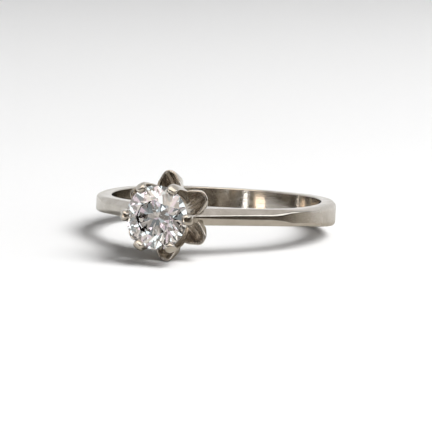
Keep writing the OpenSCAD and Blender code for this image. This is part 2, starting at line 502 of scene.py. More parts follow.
# Height under the rim at which the wall has its full thickness
FULL_WALL_DEPTH = 0.8
# The folds inside a petal: their angle from its middle, and the heights between which they run
FOLD_ANGLE = PETAL_ANGLES[2]
FOLD_TOP, FOLD_FOOT = 0.1, 2
# How far the shape that cuts the band off reaches over the rim
CORE_RISE = 0.5
SUBDIVISIONS = 2
CALYX_SHARP_ANGLE = 50
FINGER_SIDES = 384
FINGER_LENGTH = 20


def calyx_radius(sizes, angle, depth, inset):
    """The calyx's distance from its axis, at an angle from a petal's middle and a depth under the rim."""
    half_pitch = math.radians(HALF_PITCH)
    bowl = sizes.petal_radius / math.cos(sizes.bowl_lean) - inset
    above = sizes.petal_radius * math.tan(sizes.bowl_lean) + depth
    found = math.sqrt(max(0.0, bowl**2 - above**2))
    # A straight flank runs from the crease between two petals to where it touches the round tip.
    turn = math.radians(angle)
    tip, tip_middle = sizes.tip_radius - inset, sizes.petal_radius - sizes.tip_radius
    crease = sizes.crease_radius * Vector((math.cos(half_pitch), math.sin(half_pitch)))
    crease -= Vector((tip_middle, 0))
    facing = math.atan2(crease.y, crease.x) - math.acos(sizes.tip_radius / crease.length)
    touch = Vector((tip_middle + tip * math.cos(facing), tip * math.sin(facing)))
    if turn < math.atan2(touch.y, touch.x):
        plan = tip_middle * math.cos(turn) + math.sqrt(tip**2 - (tip_middle * math.sin(turn)) ** 2)
    else:
        plan = (sizes.crease_radius * math.cos(facing - half_pitch) - inset) / math.cos(facing - turn)
    found = min(found, plan)
    # A round flute between two petals widens downwards.
    flute_middle = sizes.valley_radius + sizes.flute_radius
    flute = sizes.flute_radius + inset + depth * math.tan(sizes.flute_flare)
    from_valley = half_pitch - turn
    reach = flute**2 - (flute_middle * math.sin(from_valley)) ** 2
    if reach > 0:
        found = min(found, flute_middle * math.cos(from_valley) - math.sqrt(reach))
    return found


def turn_past_valley(point):
    """How far a point is turned about the head's axis past the valley before it, in degrees."""
    return math.degrees(math.atan2(point.co.y, point.co.x)) % PITCH


def shape_ring(calyx, radius_at):
    """Moves each point of the selected ring to its distance from the head's axis, radius_at(angle)."""
    mesh = bmesh.from_edit_mesh(calyx.data)
    rows = {}
    for point in mesh.verts:
        if point.select:
            angle = abs(turn_past_valley(point) - HALF_PITCH)
            near = min(PETAL_ANGLES, key=lambda a: abs(a - angle))
            rows.setdefault(near, set()).add(point.index)
    everything = set().union(*rows.values())
    for angle, indices in rows.items():
        mesh = bmesh.from_edit_mesh(calyx.data)
        mesh.verts.ensure_lookup_table()
        now = mesh.verts[next(iter(indices))].co.xy.length
        factor = radius_at(angle) / now
        pick_points(calyx, lambda point: point.index in indices)
        stretch((factor, factor, 1))
    pick_points(calyx, lambda point: point.index in everything)


def add_ring(calyx, rise, radius_at):
    """Extrudes the selected ring, moves the new one up and shapes it."""
    bpy.ops.mesh.extrude_edges_move(TRANSFORM_OT_translate={"value": (0, 0, rise)})
    shape_ring(calyx, radius_at)


def start_ring(sizes, name):
    """The first ring of points about the head's axis, spaced as the petals need."""
    count = 2 * CLAW_COUNT * (len(PETAL_ANGLES) - 1)
    even = 360 / count
    deselect_all()
    bpy.ops.mesh.primitive_circle_add(
        vertices=count, radius=1, location=(0, 0, sizes.rim_height - OUTER_DEPTHS[0])
    )
    calyx = begin(name)
    for step, angle in enumerate(PETAL_ANGLES[1:-1], start=1):
        for side in (1, -1):
            place = HALF_PITCH + side * step * even
            pick_points(calyx, lambda point: abs(turn_past_valley(point) - place) < even / 4)
            move_picked(calyx, Matrix.Rotation(math.radians(side * (angle - step * even)), 4, "Z"))
    pick_all()
    return calyx


def pick_foot(calyx, sizes):
    """Selects what lies at the height of the first ring."""
    foot = sizes.rim_height - OUTER_DEPTHS[0]
    pick_points(calyx, lambda point: abs(point.co.z - foot) < NEAR)


def model_calyx_core(sizes):
    """The closed shape up to the middle of the calyx's wall, which cuts off what enters the calyx."""
    core = start_ring(sizes, "core")
    inset = sizes.wall / 2
    stem = sizes.stem_radius - inset
    before = OUTER_DEPTHS[0]
    shape_ring(core, lambda angle: stem)
    for depth in (*OUTER_DEPTHS[1:], -CORE_RISE):
        under = max(0.0, depth)
        add_ring(core, before - depth, lambda angle: max(stem, calyx_radius(sizes, angle, under, inset)))
        before = depth
    bpy.ops.mesh.edge_face_add()
    pick_foot(core, sizes)
    bpy.ops.mesh.edge_face_add()
    return close_up(core)


def model_calyx(sizes, band_sizes):
    """Raises the calyx ring by ring up its outer side, over the rim and down its inner side."""
    calyx = start_ring(sizes, "calyx")
    before = OUTER_DEPTHS[0]
    stem = sizes.stem_radius
    shape_ring(calyx, lambda angle: stem)
    for depth in OUTER_DEPTHS[1:]:
        add_ring(calyx, before - depth, lambda angle: max(stem, calyx_radius(sizes, angle, depth, 0)))
        before = depth
    for share in RIM_SHARES:
        add_ring(calyx, before, lambda angle: calyx_radius(sizes, angle, 0, share * sizes.rim_wall))
        before = 0
    for depth in INNER_DEPTHS:
        inset = sizes.rim_wall + (sizes.wall - sizes.rim_wall) * min(1.0, depth / FULL_WALL_DEPTH)

        def inner(angle):
            fold = sizes.fold if angle == FOLD_ANGLE and FOLD_TOP < depth < FOLD_FOOT else 0
            return max(sizes.hole_radius, calyx_radius(sizes, angle, depth, inset) - fold)

        add_ring(calyx, before - depth, inner)
        before = depth
    pick_foot(calyx, sizes)
    bpy.ops.mesh.bridge_edge_loops()
    close_up(calyx)
    apply_modifier(calyx, "SUBSURF", levels=SUBDIVISIONS, render_levels=SUBDIVISIONS)
    deselect_all()
    bpy.ops.mesh.primitive_cylinder_add(
        vertices=FINGER_SIDES, radius=band_sizes.finger_radius, depth=FINGER_LENGTH
    )
    finger = bpy.context.object
    finger.matrix_world = HEAD_TO_FRONT.inverted()
    cut_away(calyx, finger)
    smooth(calyx, CALYX_SHARP_ANGLE)
    return set_down(calyx, on_head=True)


# Claws

CLAW_STEPS = 10
TIP_STEPS = 5
DOME_STEPS = 4
CLAW_CORNER, CORNER_STEPS = 0.22, 3
CLAW_SHARP_ANGLE = 40


def claw_stations(sizes):
    """Places along a claw's middle as distance, height, lean and size."""
    foot, knee, neck = Vector(sizes.foot), Vector(sizes.knee), Vector(sizes.neck)
    stations = []
    for step in range(CLAW_STEPS + 1):
        s = step / CLAW_STEPS
        place = foot * (1 - s) ** 2 + knee * 2 * s * (1 - s) + neck * s * s
        way = (knee - foot) * (1 - s) + (neck - knee) * s
        stations.append((place, math.atan2(way.x, way.y), 1.0))
    lean = stations[-1][1]
    hinge = neck - sizes.bend_radius * Vector((math.cos(lean), -math.sin(lean)))
    for step in range(1, TIP_STEPS + 1):
        turned = lean - sizes.tip_bend * step / TIP_STEPS
        out = Vector((math.cos(turned), -math.sin(turned)))
        stations.append((hinge + sizes.bend_radius * out, turned, 1.0))
    end, turned, _ = stations[-1]
    ahead = Vector((math.sin(turned), math.cos(turned)))
    for step in range(1, DOME_STEPS):
        angle = QUARTER_TURN * step / DOME_STEPS
        stations.append((end + ahead * sizes.thickness / 2 * math.sin(angle), turned, math.cos(angle)))
    return stations


def model_seat_burr(sizes, stone):
    """The turned shape of the stone with its gap, which cuts the seat into the claws."""
    gap = sizes.seat_gap
    radius = stone.radius
    half = stone.girdle / 2
    profile = (
        (0, -stone.pavilion * 2 * radius - half - 2 * gap),
        (radius + gap, -half - gap / 2),
        (radius + gap, half + gap / 2),
        (stone.table * radius + gap, half + stone.crown * 2 * radius + gap),
        (0, half + stone.crown * 2 * radius + gap),
    )
    deselect_all()
    bpy.ops.mesh.primitive_plane_add(size=1)
    burr = begin("burr")
    bpy.ops.mesh.delete(type="VERT")
    mesh = bmesh.from_edit_mesh(burr.data)
    points = [mesh.verts.new((r, 0, stone.height + z)) for r, z in profile]
    for first, second in zip(points, points[1:]):
        mesh.edges.new((first, second))
    bmesh.update_edit_mesh(burr.data)
    pick_all()
    bpy.ops.mesh.spin(steps=GIRDLE_SIDES, angle=math.tau, center=(0, 0, 0), axis=(0, 0, 1))
    return close_up(burr)


def model_claw(sizes, stone):
    """Extrudes one claw from its foot to its domed tip, and cuts the stone's seat into it."""
    stations = claw_stations(sizes)
    place, lean, _ = stations[0]
    deselect_all()
    bpy.ops.mesh.primitive_plane_add(size=1, location=(place.x, 0, place.y), rotation=(0, lean, 0))
    claw = bpy.context.object
    claw.scale = (sizes.thickness, sizes.width, 1)
    begin("claw")
    pick_all()
    bpy.ops.mesh.bevel(offset=CLAW_CORNER, segments=CORNER_STEPS, affect="VERTICES")
    before, size_before = lean, 1.0
    for (start, _, _), (end, lean, size) in zip(stations, stations[1:]):
        step = end - start
        centre = (end.x, 0, end.y)
        bpy.ops.mesh.extrude_region_move(TRANSFORM_OT_translate={"value": (step.x, 0, step.y)})
        there = Matrix.Translation(centre)
        move_picked(claw, there @ Matrix.Rotation(lean - before, 4, "Y") @ there.inverted())
        bpy.ops.transform.resize(value=(size / size_before,) * 3, center_override=centre)
        before, size_before = lean, size
    close_up(claw)
    apply_modifier(claw, "SUBSURF", levels=SUBDIVISIONS, render_levels=SUBDIVISIONS)
    cut_away(claw, model_seat_burr(sizes, stone))
    return claw


# Stone

# Facets of each kind, and half the turn from one to the next in degrees
FACET_COUNT = 8
HALF_FACET = 180 / FACET_COUNT
FACET_NEAR = 1e-5
# A face of the girdle is at most this much turned to the head, as a cosine.
GIRDLE_FACING = 0.05


def cut_facets(*points):
    """Cuts one facet of the edited stone, given three of its points, and its like all the way round."""
    for step in range(FACET_COUNT):
        turn = Matrix.Rotation(math.radians(step * 360 / FACET_COUNT), 3, "Z")
        a, b, c = (turn @ Vector(p) for p in points)
        normal = (b - a).cross(c - a).normalized()
        if normal.dot(a) < 0:
            normal = -normal
        pick_all()
        bpy.ops.mesh.bisect(
            plane_co=a, plane_no=normal, use_fill=True, clear_outer=True, threshold=FACET_NEAR
        )


def at(radius, angle, height):
    """A point at a distance from the axis, a turn in degrees and a height."""
    return (radius * math.cos(math.radians(angle)), radius * math.sin(math.radians(angle)), height)


def model_stone(sizes):
    """Cuts a round brilliant from a cylinder: mains first, then stars and halves, as a cutter does."""
    radius, half = sizes.radius, sizes.girdle / 2
    crown, pavilion = sizes.crown * 2 * radius, sizes.pavilion * 2 * radius
    table, top = sizes.table * radius, half + crown
    deselect_all()
    bpy.ops.mesh.primitive_cylinder_add(
        vertices=GIRDLE_SIDES, radius=radius, depth=crown + pavilion + 2 * half,
        location=(0, 0, (crown - pavilion) / 2),
    )
    stone = begin("brilliant")
    out = sizes.star * (radius - table)
    kite = (table + out) / math.cos(math.radians(HALF_FACET))
    kite_z = half + crown * (1 - out / (radius - table))
    main_out = (1 - sizes.lower) * radius
    main = main_out / math.cos(math.radians(HALF_FACET))
    main_z = -half + pavilion * (main_out / radius - 1)
    cut_facets(at(table, 0, top), at(radius, 0, half), at(kite, HALF_FACET, kite_z))
    cut_facets(at(radius, 0, -half), (0, 0, -half - pavilion), at(main, HALF_FACET, main_z))
    cut_facets(at(table, 0, top), at(table, 2 * HALF_FACET, top), at(kite, HALF_FACET, kite_z))
    for turn in (HALF_FACET, -HALF_FACET):
        cut_facets(at(kite, turn, kite_z), at(radius, 0, half), at(radius, turn, half))
        cut_facets(at(main, turn, main_z), at(radius, 0, -half), at(radius, turn, -half))
    pick_all()
    bpy.ops.transform.translate(value=(0, 0, sizes.height))
    close_up(stone)
    return set_down(stone, on_head=True)


# Materials

# Sockets of a Mix node that mixes colours
MIX_FACTOR, MIX_FIRST, MIX_SECOND, MIX_RESULT = 0, 6, 7, 2
# The metal's grain runs round the band: how fine it is along it, per radian, and across it, per millimetre
GRAIN_ALONG, GRAIN_ACROSS = 3.0, 26.0
# Sets of scratches: how they are turned, and how long they are in millimetres
SCRATCHES = (((0.3, 0.5, 0.2), 1.4), ((1.1, -0.4, 1.9), 0.9))
SCRATCH_FINENESS = 22
SCRATCH_EDGES = (0.64, 0.74)
# How fine the blotches and the fine wear are, per millimetre
BLOTCH_SCALE, FINE_SCALE = 0.9, 9.0
CORNER_SAMPLES = 6
# What each pattern adds to the metal's roughness
FINE_ROUGHNESS, RUBBED_ROUGHNESS, MARK_ROUGHNESS, DIRT_ROUGHNESS = 0.12, 0.05, 0.12, 0.4
# How far each pattern stands out on polished metal, and how much further on brushed metal
GRAIN_RELIEF, MARK_RELIEF, BLOTCH_RELIEF = (0.05, 0.95), (-0.1, -0.4), (0.4, 0.8)
RELIEF_HEIGHT, RELIEF_STRENGTH = 0.004 * MM, 0.5
# Patterns on the metal are faded within this reach of the ring's centre, in millimetres.
METAL_REACH = 20
# The satin comes in over these distances from the finger's axis, and over these places along Y, the head
# being at -Y.
SATIN_RADII, SATIN_PLACES, SATIN_AT_HEAD = (8.64, 9.5), (-6, -1.6), 0.15
STONE_IOR = 2.42
# Where a noise turns from one colour to the other, in soft patches
PATCH_EDGES = (0.45, 0.62)


def new_material(name):
    """A node material with its tree and its shader."""
    material = bpy.data.materials.new(name)
    material.use_nodes = True
    return material, material.node_tree, material.node_tree.nodes["Principled BSDF"]


def give(tree, socket, value):
    """Gives an input its value, or links it if the value is another node's output."""
    if isinstance(value, bpy.types.NodeSocket):
        tree.links.new(value, socket)
    elif socket.type == "RGBA":
        socket.default_value = (*value, 1)
    else:
        socket.default_value = value


def feed(tree, node, **values):
    """Gives a node's inputs their values by name."""
    for key, value in values.items():
        socket = next(s for s in node.inputs if s.name.replace(" ", "_") == key or s.identifier == key)
        give(tree, socket, value)


def add_node(tree, kind, **values):
    """Adds a node with its settings and its inputs' values."""
    node = tree.nodes.new("ShaderNode" + kind)
    for key, value in values.items():
        if hasattr(node, key):
            setattr(node, key, value)
        else:
            feed(tree, node, **{key: value})
    return node


def work_out(tree, kind, operation, *values):
    """The outputs of a node that works something out from its first inputs."""
    node = add_node(tree, kind, operation=operation)
    for socket, value in zip(node.inputs, values):
        give(tree, socket, value)
    return node.outputs


def maths(tree, operation, *values):
    """One arithmetic step."""
    return work_out(tree, "Math", operation, *values)["Value"]


def add_shares(tree, total, *shares):
    """A total with a share of each value added, given as the value and its factor."""
    for value, factor in shares:
        total = maths(tree, "MULTIPLY_ADD", value, factor, total)
    return total


def split(tree, vector):
    """The three parts of a place or a colour."""
    return tuple(add_node(tree, "SeparateXYZ", Vector=vector).outputs)


def noise(tree, place, scale, detail, **settings):
    """A cloudy pattern, as a value."""
    return add_node(tree, "TexNoise", Vector=place, Scale=scale, Detail=detail, **settings).outputs["Fac"]


def ramp(tree, value, *stops):
    """A value that runs straight from stop to stop, each of which is what it reads and what it gives."""
    node = add_node(tree, "ValToRGB", Fac=value)
    elements = node.color_ramp.elements
    while len(elements) < len(stops):
        elements.new(0.5)
    for element, (place, level) in zip(elements, stops):
        element.position = place
        element.color = (level, level, level, 1)
    return node.outputs["Color"]


def fade(tree, value, start, end, low=0.0, high=1.0):
    """A value that goes from low to high as another one goes from start to end."""
    return ramp(tree, value, (start, low), (end, high))


def fade_along(tree, distance, start, end, reach, middle=0.5, low=0.0):
    """A value that goes from low to 1 as a distance goes from start to end, all within a reach."""
    share = maths(tree, "MULTIPLY_ADD", distance, 1 / reach, middle)
    return fade(tree, share, middle + start / reach, middle + end / reach, low)


def mix_colour(tree, first, *others):
    """A colour with others over it, given as how much each covers and its colour."""
    for factor, second in others:
        node = add_node(tree, "Mix", data_type="RGBA")
        give(tree, node.inputs[MIX_FACTOR], factor)
        give(tree, node.inputs[MIX_FIRST], first)
        give(tree, node.inputs[MIX_SECOND], second)
        first = node.outputs[MIX_RESULT]
    return first


def own_place(tree):
    """The place on a thing, in metres."""
    return add_node(tree, "TexCoord").outputs["Object"]


def ring_place(tree):
    """The place on the ring in millimetres, about its centre and with the finger's axis upright."""
    turn = TO_REST.to_3x3().inverted()
    return add_node(
        tree, "Mapping", Vector=own_place(tree), Scale=(1 / MM, 1 / MM, 1 / MM), Rotation=turn.to_euler(),
        Location=turn @ -CENTRE / MM,
    ).outputs["Vector"]


def patches(tree, scale, first, second, detail=2.0, edges=PATCH_EDGES):
    """Soft patches of two colours."""
    cloud = noise(tree, own_place(tree), scale, detail)
    return mix_colour(tree, first, (fade(tree, cloud, *edges), second))


def scratches(tree, place, turn, length):
    """Fine straight scratches that run one way, as a value from 0 to 1."""
    lines = add_node(
        tree, "Mapping", Vector=place, Rotation=turn, Scale=(1 / length, SCRATCH_FINENESS, SCRATCH_FINENESS)
    ).outputs["Vector"]
    return fade(tree, noise(tree, lines, 1.0, 2.0), *SCRATCH_EDGES)


def white_gold(name, colours, roughness, brushed, satin=0.0, recess=0.45, darkest_corner=0.4, open_at=0.4):
    """White gold. Brushed is how strongly it is scratched along the band, satin how dull it is outside.

    Recess is how far the soiling and painted shade look for a corner, in millimetres, darkest_corner their
    most, and open_at how open a place is where they end.
    """
    material, tree, shader = new_material(name)
    place = ring_place(tree)
    x, y, z = split(tree, place)
    flat = add_node(tree, "CombineXYZ", X=x, Y=y).outputs["Vector"]
    radius = work_out(tree, "VectorMath", "LENGTH", flat)["Value"]
    round_band = add_node(
        tree, "CombineXYZ", X=maths(tree, "MULTIPLY", maths(tree, "ARCTAN2", y, x), GRAIN_ALONG),
        Y=maths(tree, "MULTIPLY", z, GRAIN_ACROSS), Z=maths(tree, "MULTIPLY", radius, GRAIN_ACROSS),
    ).outputs["Vector"]
    grain = noise(tree, round_band, 1.0, 4.0)
    blotches = noise(tree, place, BLOTCH_SCALE, 5.0, Roughness=0.6)
    fine = noise(tree, place, FINE_SCALE, 6.0, Roughness=0.6)
    marks = maths(tree, "MAXIMUM", *(scratches(tree, place, *one_set) for one_set in SCRATCHES))
    rubbed = fade(tree, blotches, 0.35, 0.68)
    # Soiling and painted shade: ambient occlusion darkens corners and recesses towards dark brown, in
    # patches.
    shade = add_node(tree, "AmbientOcclusion", samples=CORNER_SAMPLES, Distance=recess * MM)
    corner = fade(tree, shade.outputs["AO"], 0.1, open_at, darkest_corner, 0.0)
    grime_and_shade_mask = maths(tree, "MULTIPLY", corner, fade(tree, fine, 0.35, 0.65, low=0.4))
    outside = fade_along(tree, radius, *SATIN_RADII, METAL_REACH, middle=0.0)
    behind = fade_along(tree, y, *SATIN_PLACES, METAL_REACH, low=SATIN_AT_HEAD)
    rough = add_shares(
        tree, roughness - FINE_ROUGHNESS / 2, (fine, FINE_ROUGHNESS), (rubbed, RUBBED_ROUGHNESS),
        (maths(tree, "MULTIPLY", outside, behind), satin), (marks, MARK_ROUGHNESS), (grime_and_shade_mask, DIRT_ROUGHNESS),
    )
    reliefs = ((grain, GRAIN_RELIEF), (marks, MARK_RELIEF), (blotches, BLOTCH_RELIEF))
    height = add_shares(tree, 0.0, *((value, least + more * brushed) for value, (least, more) in reliefs))
    bump = add_node(tree, "Bump", Height=height, Strength=RELIEF_STRENGTH, Distance=RELIEF_HEIGHT)
    metal = mix_colour(tree, colours.gold, (rubbed, colours.worn), (grime_and_shade_mask, colours.grime_and_shade))
    feed(tree, shader, Base_Color=metal, Metallic=1.0, Roughness=rough, Normal=bump.outputs["Normal"])
    return material


def cut_stone(colours):
    """The stone's polished facets, clear with faint zones of colour."""
    material, tree, shader = new_material("polished_facets")
    zones = fade(tree, noise(tree, ring_place(tree), 0.7, 2.0), 0.4, 0.6)
    red, green, blue = colours.stone
    feed(
        tree, shader, Base_Color=mix_colour(tree, colours.stone, (zones, (0.97 * red, green, blue))),
        Roughness=0.0, IOR=STONE_IOR, Transmission_Weight=1.0,
    )
    return material


def bruted_girdle(colours):
    """The stone's ground girdle."""
    material, tree, shader = new_material("bruted_girdle")
    grain = noise(tree, ring_place(tree), 30.0, 4.0)
    feed(
        tree, shader, Base_Color=mix_colour(tree, colours.stone, (grain, 0.9 * colours.stone)),
        Roughness=fade(tree, grain, 0.3, 0.7, 0.25, 0.5), IOR=STONE_IOR, Transmission_Weight=1.0,
    )
    return material


def pale_floor(colours):
    """A pale board with a faint grain."""
    material, tree, shader = new_material("pale_floor")
    grain = noise(tree, own_place(tree), 900.0, 4.0)
    bump = add_node(tree, "Bump", Height=grain, Strength=0.1, Distance=0.02 * MM)
    feed(
        tree, shader, Base_Color=mix_colour(tree, colours.floor, (grain, 0.985 * colours.floor)),
        Roughness=0.75, Specular_IOR_Level=0.2, Normal=bump.outputs["Normal"],
    )
    return material


def glow(name):
    """A material that gives light, with its tree and the lamp whose colour is still to be given."""
    material, tree, shader = new_material(name)
    lamp = add_node(tree, "Emission")
    tree.links.new(lamp.outputs["Emission"], tree.nodes["Material Output"].inputs["Surface"])
    tree.nodes.remove(shader)
    return material, tree, lamp


# Operators


class RING_OT_band(bpy.types.Operator):
    """Model the tapered band with its bevelled shoulders"""

    bl_idname = "ring.band"
    bl_label = "Band"

    def execute(self, context):
        scene = context.scene
        gold = white_gold("worn_white_gold", scene.ring_finish, roughness=0.07, brushed=1.0, satin=0.2)
        band = model_band(scene.ring_band, scene.ring_calyx)
        finish_piece(band, "white_gold", "band_with_setting", gold)
        return {"FINISHED"}


class RING_OT_calyx(bpy.types.Operator):
    """Model the six-petalled calyx"""

    bl_idname = "ring.calyx"
    bl_label = "Calyx"

    def execute(self, context):
        scene = context.scene
        # Deep painted shade: over 1.5 mm, ambient occlusion darkens the inside of the calyx towards dark
        # brown, along with soiling.
        gold = white_gold(
            "polished_white_gold", scene.ring_finish, roughness=0.07, brushed=0.1,
            recess=1.5, darkest_corner=0.9, open_at=0.75,
        )
        calyx = model_calyx(scene.ring_calyx, scene.ring_band)
        finish_piece(calyx, "white_gold", "band_with_setting", gold)
        return {"FINISHED"}


class RING_OT_claws(bpy.types.Operator):
    """Model one claw and copy it round the stone"""

    bl_idname = "ring.claws"
    bl_label = "Claws"

    def execute(self, context):
        scene = context.scene
        gold = white_gold("claw_white_gold", scene.ring_finish, roughness=0.1, brushed=0.15)
        first = model_claw(scene.ring_claw, scene.ring_stone)
        for number in range(1, CLAW_COUNT + 1):
            claw = first.copy()
            claw.data = first.data.copy()
            claw.name = claw.data.name = f"claw_{number}"
            scene.collection.objects.link(claw)
            smooth(claw, CLAW_SHARP_ANGLE)
            claw.data.transform(Matrix.Rotation(math.tau * (number - 1) / CLAW_COUNT, 4, "Z"))
            finish_piece(set_down(claw, on_head=True), "white_gold", "band_with_setting", gold)
        bpy.data.objects.remove(first)
        return {"FINISHED"}


class RING_OT_stone(bpy.types.Operator):
    """Cut the round brilliant"""

    bl_idname = "ring.stone"
    bl_label = "Stone"

    def execute(self, context):
        colours = context.scene.ring_finish
        stone = model_stone(context.scene.ring_stone)
        finish_piece(stone, "brilliant", "stone", cut_stone(colours), bruted_girdle(colours))
        to_head = TO_REST.to_3x3() @ Vector((0, -1, 0))
        for face in stone.data.polygons:
            if abs(face.normal.dot(to_head)) < GIRDLE_FACING:
                face.material_index = 1
        return {"FINISHED"}


# Stage

# Lights: name, azimuth and elevation in degrees, distance, size, power, and whether the metal shows it
LIGHTS = (
    ("key", 70, 50, 0.9, (0.5, 0.5), 10.4, False),
    ("overhead", 0, 90, 0.6, (0.8, 0.8), 0.9, False),
    ("ridge_light", 79, 22, 0.4, (0.4, 0.18), 0.33, True),
)
# Cards that the metal shows: name, azimuth and elevation in degrees, distance and size, then how fine
# their patches are and the two colours of these
CARDS = (
    ("slot_card", -18, -0.5, 0.05, (0.0035, 0.0028), 20.0, (9.0, 8.8, 8.6), (7.0, 7.0, 7.0)),
    ("tan_card", -36.5, -0.5, 0.05, (0.011, 0.0028), 200.0, (4.6, 3.7, 2.9), (3.6, 2.8, 2.1)),
    ("low_tan_card", -39, 2.7, 0.052, (0.017, 0.0025), 200.0, (0.75, 0.58, 0.4), (0.45, 0.34, 0.22)),
    ("overhead_card", 117, 62, 0.08, (0.09, 0.05), 60.0, (0.66, 0.63, 0.6), (0.6, 0.56, 0.53)),
    ("front_card", 5, 48, 0.08, (0.12, 0.07), 60.0, (1.9, 1.7, 1.5), (1.5, 1.3, 1.12)),
)
FLOOR_SIZE, FLOOR_CUTS = 4, 7
SHEET_SIZE, SHEET_HEIGHT = 0.6, 0.02 * MM
SURROUND_RADIUS, SURROUND_HEIGHT = 0.06, 0.012
DOME_RADIUS = 0.25
ROUND_STEPS = 96
# Within these reaches of their middles, in metres, the sheet and the surround change colour.
SHEET_REACH, INSIDE_REACH, SURROUND_REACH = 0.1, 0.02, 0.125
# The sheet's colours: under the ring, inside it, where dark patches are painted shade, to the right, to the
# left and behind
TAUPE, PALE_TAUPE = (0.42, 0.385, 0.335), (0.52, 0.485, 0.43)
INSIDE_RING_SHADE, BARE_SHEET = (0.04, 0.03, 0.022), (0.33, 0.27, 0.205)
BROWN, SOFT_BROWN = (0.08, 0.064, 0.05), (0.28, 0.25, 0.205)
SHEET_LEFT, SHEET_BACK = (0.62, 0.615, 0.6), (0.8, 0.79, 0.78)
# The surround's colours: in front, at the sides, behind and to the left
UMBER, BARK = (0.028, 0.021, 0.015), (0.14, 0.11, 0.076)
SURROUND_SIDES, SURROUND_BACK, SURROUND_LEFT = (0.32, 0.29, 0.24), (0.86, 0.85, 0.84), (0.7, 0.695, 0.68)
# The dome's panes: how bright they are, in steps, and their tints
PANE_LEVELS = ((0.2, 0.12), (0.3, 0.18), (0.55, 0.22), (0.6, 0.32), (0.84, 0.36), (0.88, 0.8))
ROSE, CREAM, SKY = (1.0, 0.83, 0.87), (1.0, 0.92, 0.82), (0.84, 0.93, 0.93)
PANE_SCALE, PANE_STRENGTH = 11.0, 2.5
# The room's colours: at the horizon, overhead, behind, to the left and straight above
ROOM_LOW, ROOM_HIGH, ROOM_BACK = (0.08, 0.065, 0.052), (0.42, 0.41, 0.39), (0.8, 0.79, 0.78)
ROOM_LEFT, ROOM_ZENITH = (0.66, 0.65, 0.64), (1.0, 0.98, 0.94)
SENSOR_WIDTH = 36
CLIP_NEAR, CLIP_FAR = 0.01, 10


def direction(azimuth, elevation):
    """The way from the ring at these angles, azimuth 0 being the front and a quarter turn the right."""
    return Vector((
        math.sin(azimuth) * math.cos(elevation),
        -math.cos(azimuth) * math.cos(elevation),
        math.sin(elevation),
    ))


def aim(thing, azimuth, elevation, distance):
    """Puts a light or a card at a place seen from the ring, in degrees, and turns it to the ring."""
    thing.location = CENTRE + distance * direction(math.radians(azimuth), math.radians(elevation))
    thing.rotation_euler = (CENTRE - thing.location).to_track_quat("-Z", "Y").to_euler()


def add_softbox(name, azimuth, elevation, distance, size, power):
    """A rectangular area light that looks at the ring."""
    light = bpy.data.lights.new(name, "AREA")
    light.shape = "RECTANGLE"
    light.size, light.size_y = size
    light.energy = power
    lamp = bpy.data.objects.new(name, light)
    bpy.context.scene.collection.objects.link(lamp)
    aim(lamp, azimuth, elevation, distance)
    return lamp


def keep_for_reflections(card, material, in_metal=True, in_stone=False):
    """Dresses a card and hides it from camera and floor, so that only the metal or the stone shows it."""
    card.data.materials.append(material)
    card.visible_camera = False
    card.visible_diffuse = False
    card.visible_shadow = False
    card.visible_glossy = in_metal
    card.visible_transmission = in_stone


def hang_card(name, azimuth, elevation, distance, size, scale, first, second):
    """A flat card that faces the ring, with patches of two colours of light that the metal shows."""
    deselect_all()
    bpy.ops.mesh.primitive_plane_add(size=1)
    card = begin(name)
    stretch((*size, 1))
    end_edit()
    material, tree, lamp = glow(name)
    feed(tree, lamp, Color=patches(tree, scale, first, second))
    aim(card, azimuth, elevation, distance)
    keep_for_reflections(card, material)


